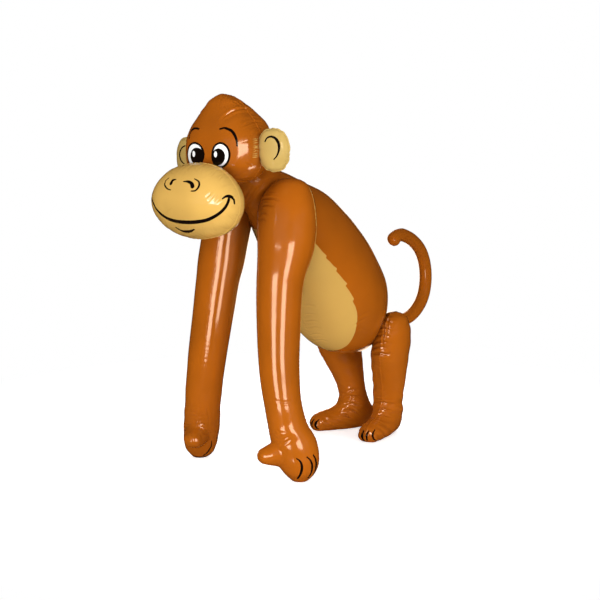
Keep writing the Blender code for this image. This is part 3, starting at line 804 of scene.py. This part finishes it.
def vinyl(name, colour):
    """Glossy sheet vinyl with printed areas and painted highlights read from the mesh, and painted shade where bags
    press together.
    """
    material = bpy.data.materials.new(name)
    nodes = Nodes(material)
    here = nodes.add("TexCoord").outputs["Object"]

    def noise(scale, detail):
        return nodes.add("TexNoise", Vector=here, Scale=scale, Detail=detail).outputs["Fac"]

    def printed(layer):
        made = nodes.add("Attribute")
        made.attribute_name = layer
        return nodes.spread(made.outputs["Fac"], -PRINT_EDGE, PRINT_EDGE, 0.0, 1.0)

    # The ink lies a little thicker in some places than in others
    uneven = nodes.spread(noise(9.0, 3.0), 0.35, 0.65, 0.0, 1.0)
    shade = nodes.mix(uneven, tinted(colour, 0.90), tinted(colour, 1.10))
    uneven = nodes.spread(noise(11.0, 2.0), 0.35, 0.65, 0.0, 1.0)
    # The tan print, and the painted highlights drawn in tan along the head's ticks and the left shoulder's weld
    shade = nodes.mix(printed("tan_print_and_highlights"), shade, nodes.mix(uneven, tinted(TAN, 0.95), TAN))
    shade = nodes.mix(printed("white"), shade, WHITE)
    shade = nodes.mix(printed("ink"), shade, BLACK)
    # Painted shade: where bags press on one another the colour is darkened towards deep brown, by ambient occlusion
    painted_shade_ao = nodes.add("AmbientOcclusion", Distance=SHADE_REACH)
    painted_shade_ao.samples = 8
    shade = nodes.mix(nodes.spread(painted_shade_ao.outputs["AO"], 0.15, 0.8, 1.0, 0.0), shade, PAINTED_SHADE_TINT, "MULTIPLY")
    bump = nodes.add("Bump", Strength=0.12, Distance=0.0006, Height=noise(260.0, 3.0))
    shader = nodes.tree.nodes["Principled BSDF"]
    for name, value in (
            ("Base Color", shade), ("Normal", bump.outputs["Normal"]), ("IOR", 1.5), ("Coat Weight", 0.35),
            ("Coat Roughness", 0.06), ("Roughness", nodes.spread(noise(30, 4), 0.3, 0.7, 0.10, 0.16))):
        nodes.put(shader.inputs[name], value)
    return material


fur = vinyl("fur_vinyl", FUR)
tan = vinyl("tan_vinyl", TAN)
# The ears get the darker tan, as painted shade
shaded_ear_tan = vinyl("shaded_ear_vinyl", SHADED_EAR_TAN)

# Arms
SHOULDER_FLANGE = [(1.2, 32.1, 44.1), (9.7, 37.4, 31.4), (13.0, 41.6, 14.2), (11.8, 44.2, -9.2), (4.1, 45.1, -30.9),
                   (0, 45, -60), (0, 42, -100)]
LEFT_ARM_FOLDS.append(Fold(SHOULDER_FLANGE, -0.9, 0.9))
# A painted highlight: a pale tan line along the left shoulder's weld, where its flange catches the light
FLANGE_HIGHLIGHT = [Stroke(SHOULDER_FLANGE, 0.35, 0.55, 0.2)]
ARM_GATHERS = [Gather(line, *run) for line in (0, 1) for run in (
    (10, 110, 5, 0.55, 8), (110, 400, 6, 0.22, 6), (400, 485, 5, 0.7, 12))]
for side, name, shoulder, pose, pressed, seed in (
        (1, "arm_left", LEFT_SHOULDER, LEFT_ARM_POSE, LEFT_ARM_FOLDS, 3),
        (-1, "arm_right", RIGHT_SHOULDER, RIGHT_ARM_POSE, RIGHT_ARM_FOLDS, 8)):
    bag = Bag(name, ARM, step=1.5, around=176, seam=FRONT_SEAM)
    thumb_on(bag)
    ridge = weld(bag, rise=0.35 if side > 0 else 0.12, spread=1.3)
    bag.push(gathers(bag, ARM_GATHERS, seed) + ridge + waver(bag.points, 60, 0.25, seed))
    bag.points[..., 0] *= side
    bag.push(folds(bag, pressed))
    place = placed(shoulder, *pose)
    rest_on_floor(bag, place)
    lines = FINGERS + turned_over(FINGERS) + (PALM_LINES if side < 0 else [])
    make_piece(bag, place, fur, print_and_highlight_lines(lines, FLANGE_HIGHLIGHT if side > 0 else []))

# Legs
LEG_GATHERS = [
    Gather(0, 12, 150, 5.5, 0.9, 13), Gather(0, 150, 250, 5, 0.8, 14), Gather(0, 250, 320, 5, 0.4, 8),
    Gather(1, 12, 150, 5.5, 0.5, 9), Gather(1, 150, 300, 5, 0.7, 12),
]
for side, name, ankle, toe_out, pressed, seed in (
        (1, "leg_left", LEFT_ANKLE, LEFT_TOE_OUT, LEFT_LEG_FOLDS, 21),
        (-1, "leg_right", RIGHT_ANKLE, RIGHT_TOE_OUT, RIGHT_LEG_FOLDS, 34)):
    bag = Bag(name, LEG, step=1.3, around=140, seam=FRONT_SEAM)
    bag.push(gathers(bag, LEG_GATHERS, seed) + weld(bag) + waver(bag.points, 50, 0.25, seed))
    bag.points[..., 0] *= side
    bag.push(folds(bag, pressed))
    place = placed(ankle, turn=toe_out)
    rest_on_floor(bag, place)
    make_piece(bag, place, fur, print_and_highlight_lines(TOES if side > 0 else RIGHT_TOES))

# Torso
TORSO_GATHERS = [Gather(0, 60, 400, 7, 0.6, 18), Gather(1, 60, 400, 7, 0.45, 12)]
bag = Bag("torso", TORSO, step=1.7, around=240, seam=FRONT_SEAM)
bag.push(gathers(bag, TORSO_GATHERS, 5) + weld(bag, 0.5) + waver(bag.points, 90, 0.4, 2) + folds(bag, TORSO_FOLDS))
make_piece(bag, placed((0, 0, 0)), fur, belly_print)

# Head
HEAD_RIM = ((0, 1, 5), (69, 59, 76))  # the middle of the round weld and its half sizes
HEAD_SQUARE = 2.7  # 2 would make the head's sections round
head_place = placed(HEAD_CENTRE, HEAD_TILT, HEAD_TURN)
bag = Bag("head", HEAD, step=1.05, around=340, seam=SIDE_SEAM, square=HEAD_SQUARE)
height = rim_gathers(bag, *HEAD_RIM, spacing=6.0, depth=0.7, reach=18, seed=11)
height += rim_weld(bag, *HEAD_RIM)
bag.push(height + waver(bag.points, 60, 0.3, 6) + folds(bag, HEAD_FOLDS))
make_piece(bag, head_place, fur, face_print_and_tick_highlights)

# Muzzle
MUZZLE_RIM = ((0, -83, -71), (79, 52, 58))
bag = Bag("muzzle", MUZZLE, step=1.1, around=320, seam=SIDE_SEAM)
height = rim_gathers(bag, *MUZZLE_RIM, spacing=6.0, depth=0.6, reach=30, seed=12)
height += rim_weld(bag, *MUZZLE_RIM)
bag.push(height + waver(bag.points, 60, 0.25, 7) + folds(bag, MUZZLE_FOLDS))
make_piece(bag, head_place, tan, print_and_highlight_lines(MOUTH))

# Ears
EAR_RIM = ((0, 0, 0), (25, 9.5, 32))
head_frame = Matrix.Rotation(radians(HEAD_TURN), 4, "Z") @ Matrix.Rotation(radians(HEAD_TILT), 4, "Y")
for side, name, centre, seed, lines in (
        (1, "ear_left", LEFT_EAR, 41, LEFT_EAR_LINE), (-1, "ear_right", RIGHT_EAR, 42, RIGHT_EAR_LINE)):
    bag = Bag(name, EAR, step=0.9, around=128, seam=SIDE_SEAM)
    height = rim_gathers(bag, *EAR_RIM, spacing=12.0, depth=1.5, reach=8, seed=seed)
    bag.push(height + rim_weld(bag, *EAR_RIM, rise=1.6, spread=0.9))
    bag.points[..., 0] *= side
    spot = Vector(HEAD_CENTRE) + head_frame @ Vector(centre)
    place = placed(spot, HEAD_TILT, HEAD_TURN + EAR_SPLAY * side)
    make_piece(bag, place, shaded_ear_tan, print_and_highlight_lines(lines))

# Tail
TAIL_GATHERS = [Gather(0, 30, 330, 5, 0.5, 5), Gather(1, 30, 330, 5, 0.3, 5)]
KNOB_STATIONS = 3  # how many of the tail's last points have the knob's radius
tail = np.array(TAIL_LINE, dtype=float)
tail_rings = [pole(*tail[0])]
for i in range(1, len(tail) - 1):
    ahead = tail[i + 1] - tail[i - 1]
    ahead /= np.linalg.norm(ahead)
    wide = TAIL_RADIUS if i < len(tail) - KNOB_STATIONS else TAIL_KNOB_RADIUS
    aside = wide * np.array((-ahead[1], ahead[0]))
    tail_rings.append(Ring(*(tail[i] + aside), *(tail[i] - aside), wide))
tail_rings.append(pole(*tail[-1]))
bag = Bag("tail", tail_rings, step=1.4, around=56, seam=FRONT_SEAM)
bag.push(gathers(bag, TAIL_GATHERS, 9) + weld(bag, 0.5, 0.9))
make_piece(bag, placed((0, 0, 0)), fur)

# Camera
AIM = Vector((0.1175 + SIDEWAYS * MM, FORWARD * MM, 0.29))
AZIMUTH, ELEVATION, DISTANCE = radians(40.0), radians(10.0), 2.5
back = Vector((sin(AZIMUTH) * cos(ELEVATION), -cos(AZIMUTH) * cos(ELEVATION), sin(ELEVATION)))
lens = bpy.data.cameras.new("camera")
lens.lens = 97.5
lens.sensor_width = 36.0
camera = bpy.data.objects.new("camera", lens)
camera.location = AIM + back * DISTANCE
camera.rotation_euler = (-back).to_track_quat("-Z", "Y").to_euler()
show(camera)
bpy.context.scene.camera = camera

# Pale floor that runs out into white
FLOOR_HALF = 6.0  # half the floor's side, metres
FLOOR_DROP = 0.0004  # how far it lies below the soles


def floor_paper():
    """White paper, a little lit for the camera, that fades into even white away from the figure."""
    paper = bpy.data.materials.new("paper")
    nodes = Nodes(paper)
    seen = nodes.add("LightPath").outputs["Is Camera Ray"]
    sheet, output = (nodes.tree.nodes[name] for name in ("Principled BSDF", "Material Output"))
    for name, value in (("Base Color", (0.9, 0.9, 0.9, 1)), ("Roughness", 0.9), ("Specular IOR Level", 0.1)):
        sheet.inputs[name].default_value = value
    lift = nodes.add("Emission", Color=(0.62, 0.62, 0.62, 1), Strength=seen)
    glow = nodes.add("Emission", Strength=nodes.spread(seen, 0.0, 1.0, 0.12, 1.0))
    away = nodes.add("VectorMath", Vector=nodes.add("TexCoord").outputs["Object"])
    away.operation = "LENGTH"
    share = nodes.spread(away.outputs["Value"], 0.35, 0.8, 0.0, 1.0, "SMOOTHSTEP")
    lifted, blend = nodes.add("AddShader"), nodes.add("MixShader")
    for socket, value in (
            (lifted.inputs[0], sheet.outputs[0]), (lifted.inputs[1], lift.outputs[0]), (blend.inputs[0], share),
            (blend.inputs[1], lifted.outputs[0]), (blend.inputs[2], glow.outputs[0]),
            (output.inputs["Surface"], blend.outputs[0])):
        nodes.put(socket, value)
    return paper


floor_mesh = bpy.data.meshes.new("floor")
corners = [(x * FLOOR_HALF, y * FLOOR_HALF, 0) for x, y in ((-1, -1), (1, -1), (1, 1), (-1, 1))]
floor_mesh.from_pydata(corners, [], [(0, 1, 2, 3)])
floor_mesh.materials.append(floor_paper())
floor = bpy.data.objects.new("floor", floor_mesh)
floor.location.z = -FLOOR_DROP
floor.visible_glossy = floor.visible_shadow = False
show(floor)
floor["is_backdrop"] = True


def panel_lamp(name, width, height, power):
    data = bpy.data.lights.new(name, "AREA")
    data.shape = "RECTANGLE"
    data.size, data.size_y, data.energy = width, height, power
    lamp = bpy.data.objects.new(name, data)
    show(lamp)
    return lamp


def softbox(name, angle, distance, low, high, width, power, pieces=()):
    """A lamp facing the figure, its angle measured from the camera's. It lights the pieces named, or everything."""
    turn = AZIMUTH + radians(angle)
    towards = Vector((sin(turn), -cos(turn), 0))
    lamp = panel_lamp(name, width, high - low, power)
    lamp.location = Vector((AIM.x, AIM.y, 0)) + towards * distance + Vector((0, 0, (low + high) / 2))
    lamp.rotation_euler = (-towards).to_track_quat("-Z", "Y").to_euler()
    if pieces:
        group = bpy.data.collections.new(name + "_on")
        for piece in pieces:
            group.objects.link(bpy.data.objects[piece + "_vinyl"])
        lamp.light_linking.receiver_collection = group
    return lamp


# Lamps that only show as highlights, most of them on their own bags: the angle, the lowest and highest point, the
# width and the radiance of each
LAMP_DISTANCE = 1.6
WARM = (1.0, 0.76, 0.55)
PALE = (0.85, 0.85, 0.90)
for name, angle, low, high, width, radiance, pieces in (
        ("near_left", -27, -0.13, 0.42, 0.58, 11, ("arm_left",)),
        ("near_right", 20, 0.12, 0.48, 0.62, 11, ("arm_left",)),
        ("far_left", -12, -0.36, 0.55, 0.56, 11, ("arm_right",)),
        ("far_right", 48, -0.30, 0.50, 1.60, 10, ("arm_right",)),
        ("face", 27, 0.57, 1.08, 1.45, 12, ("head",)),
        ("ticks", 105, -1.40, -0.60, 0.90, 7, ("head",)),
        ("snout", -2, 0.15, 0.85, 0.80, 12, ("muzzle",)),
        ("ears", -6, 0.50, 0.80, 0.16, 9, ("ear_left", "ear_right")),
        ("high", -12, 0.95, 1.95, 0.70, 18, ("leg_left", "leg_right")),
        ("low", -32, 0, 0.45, 0.50, 14, ("leg_left", "leg_right")),
        ("tail", 0, -0.70, -0.10, 0.50, 6, ("tail",)),
        ("under", 168, -0.60, -0.10, 0.40, 1.6, ("torso",)),
        ("rear", 180, -0.10, 0.35, 0.45, 3.5, ())):
    lamp = softbox(name, angle, LAMP_DISTANCE, low, high, width, radiance * pi * width * (high - low), pieces)
    lamp.visible_diffuse = False
    lamp.data.color = PALE if name == "snout" else WARM
    lamp.data.use_shadow = name not in ("ticks", "far_right")

# Lamps that only give plain light
softbox("fill", -18, 1.6, 0.1, 1.25, 1.6, 30).visible_glossy = False
softbox("rear_fill", 180, 1.8, 0.2, 1.6, 1.3, 30).visible_glossy = False
softbox("side_fill", 45, 1.6, 0.0, 0.85, 1.4, 14).visible_glossy = False
overhead = panel_lamp("overhead", 1.6, 1.6, 3)
overhead.location = (-0.25, FORWARD * MM - 0.9, 1.9)
overhead.rotation_euler = Vector((-0.25, -0.9, 1.6)).to_track_quat("Z", "Y").to_euler()
overhead.visible_glossy = False


def surroundings():
    """White to the camera, a soft fill on the vinyl, and dark and warm in its reflections."""
    world = bpy.data.worlds.new("studio")
    nodes = Nodes(world)
    path = nodes.add("LightPath")
    glossy = path.outputs["Is Glossy Ray"]
    strength = nodes.add("Math")
    strength.operation = "MAXIMUM"
    nodes.put(strength.inputs[0], path.outputs["Is Camera Ray"])
    nodes.put(strength.inputs[1], nodes.spread(glossy, 0.0, 1.0, 0.30, 0.07))
    sky = nodes.tree.nodes["Background"]
    nodes.put(sky.inputs["Color"], nodes.mix(glossy, (1, 1, 1, 1), (1, 0.36, 0.12, 1)))
    nodes.put(sky.inputs["Strength"], strength.outputs[0])
    return world


bpy.context.scene.world = surroundings()
bpy.context.scene.view_settings.view_transform = "Standard"

low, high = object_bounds()
